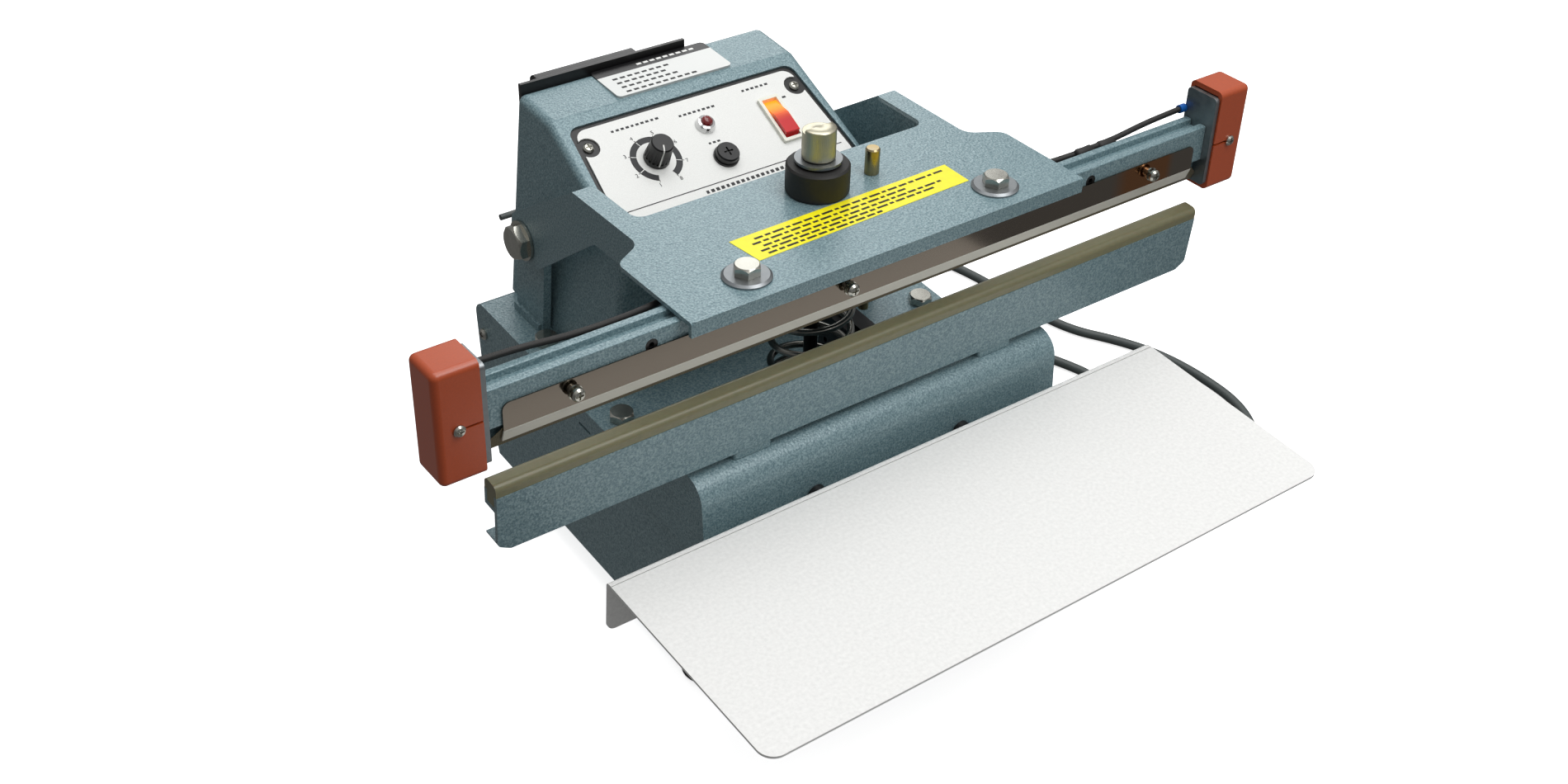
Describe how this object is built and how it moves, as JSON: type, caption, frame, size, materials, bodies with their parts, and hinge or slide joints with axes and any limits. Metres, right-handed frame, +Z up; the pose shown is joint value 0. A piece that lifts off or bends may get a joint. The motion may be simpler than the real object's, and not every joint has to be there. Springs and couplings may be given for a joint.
{
  "type": "impulse heat sealer",
  "caption": "Bench head of a foot-operated impulse heat sealer: hinged heater bar over a rubber-faced jaw, sloping timer panel, work shelf in front.",
  "frame": {"origin": "middle of the machine's footprint on the floor, mains lead left out", "axes": "+X along the jaw to the operator's right, +Y from the operator to the back, +Z up"},
  "size_m": [0.6018, 0.6143, 0.2855],
  "materials": {
    "hammertone": "hammer-effect enamel, satin",
    "shelf_white": "white powder coat",
    "zinc": "zinc plated",
    "zinc_grey": "dull zinc plate",
    "bright_chrome": "polished",
    "stainless": "polished stainless sheet",
    "black_steel": "blackened",
    "core_iron": "varnished laminations",
    "winding_copper": "enamelled copper under tape",
    "brass": "passivated",
    "panel_metal": "satin printed face",
    "black_rubber": "moulded",
    "silicone": "translucent silicone",
    "release_cloth": "coated glass cloth",
    "cord_grey": "PVC jacket",
    "black_plastic": "moulded",
    "white_plastic": "moulded",
    "blue_plastic": "crimp sleeve",
    "cap_orange": "moulded phenolic",
    "red_lens": "translucent",
    "rocker_orange": "translucent, lit"
  },
  "bodies": {
    "base": {"bottom_plate": "hammertone", "base_shell": "hammertone", "front_cover": "hammertone", "deck_bolts": "zinc", "case_screws": "zinc", "feet": "black_rubber", "lower_jaw": "hammertone", "jaw_rubber": "silicone", "jaw_spacers": "hammertone", "jaw_bolts": "zinc", "work_shelf": "shelf_white", "shelf_screws": "zinc", "shelf_spacers": "black_plastic", "control_housing": "hammertone", "panel_gasket": "black_plastic", "control_panel": "panel_metal", "panel_screws": "zinc", "name_plate": "panel_metal", "rear_cover": "black_plastic", "timer_unit": "black_plastic", "lamp_bezel": "bright_chrome", "lamp_lens": "red_lens", "fuse_holder": "black_plastic", "switch_frame": "white_plastic", "transformer_core": "core_iron", "transformer_winding": "winding_copper", "micro_switch": "black_plastic", "arm_stop": "zinc", "pivot_brackets": "hammertone", "pivot_bushes": "zinc", "pivot_bolts": "zinc", "return_spring": "zinc", "cord_gland": "black_plastic", "mains_cord": "cord_grey", "mains_cord_coil": "cord_grey", "mains_plug": "cord_grey", "cord_tie": "black_plastic"},
    "arm": {"arm_yoke": "hammertone", "heater_bar": "hammertone", "bar_studs": "black_plastic", "ribbon_seat": "silicone", "heating_ribbon": "stainless", "release_cloth": "release_cloth", "clamp_strip": "stainless", "clamp_screws": "zinc", "end_plates": "zinc_grey", "end_caps": "cap_orange", "cap_screws": "zinc", "bar_bolts": "zinc", "bar_washers": "zinc_grey", "heater_leads": "black_rubber", "lead_terminals": "blue_plastic", "rubber_bushing": "black_rubber", "switch_pin": "brass"},
    "rod": {"pull_rod": "black_steel", "pressure_washer": "zinc_grey"},
    "nut": {"pressure_nut": "zinc"},
    "knob": {"timer_knob": "black_plastic"},
    "fuse": {"fuse_cap": "black_plastic"},
    "rocker": {"switch_rocker": "rocker_orange"}
  },
  "joints": [
    {"name": "arm_hinge", "type": "hinge", "parent": "base", "child": "arm", "pos_m": [0, 0.139, 0.1815], "axis": [1, 0, 0], "range_deg": [0, 4.7], "stiffness_Nm_per_rad": 60, "springref_deg": -8.59, "deforming": ["return_spring"]},
    {"name": "rod_swivel", "type": "hinge", "parent": "arm", "child": "rod", "pos_m": [0, 0.01776, 0.26532], "axis": [1, 0, 0], "range_deg": [-4.7, 0]},
    {"name": "nut_spin", "type": "hinge", "parent": "rod", "child": "nut", "pos_m": [0, 0.01791, 0.2675], "axis": [0, 0.0659, 0.9978], "continuous": true},
    {"name": "timer_turn", "type": "hinge", "parent": "base", "child": "knob", "pos_m": [-0.038, 0.11375, 0.22666], "axis": [0, 0.3987, -0.9171], "range_deg": [0, 315]},
    {"name": "fuse_cap_turn", "type": "hinge", "parent": "base", "child": "fuse", "pos_m": [0.0022, 0.10237, 0.22172], "axis": [0, -0.3987, 0.9171], "range_deg": [0, 90]},
    {"name": "rocker_tilt", "type": "hinge", "parent": "base", "child": "rocker", "pos_m": [0.0486, 0.11453, 0.22536], "axis": [1, 0, 0], "range_deg": [0, 18]}
  ],
  "couplings": [
    {"joint": "rod_swivel", "follows": "arm_hinge", "ratio": -1}
  ]
}
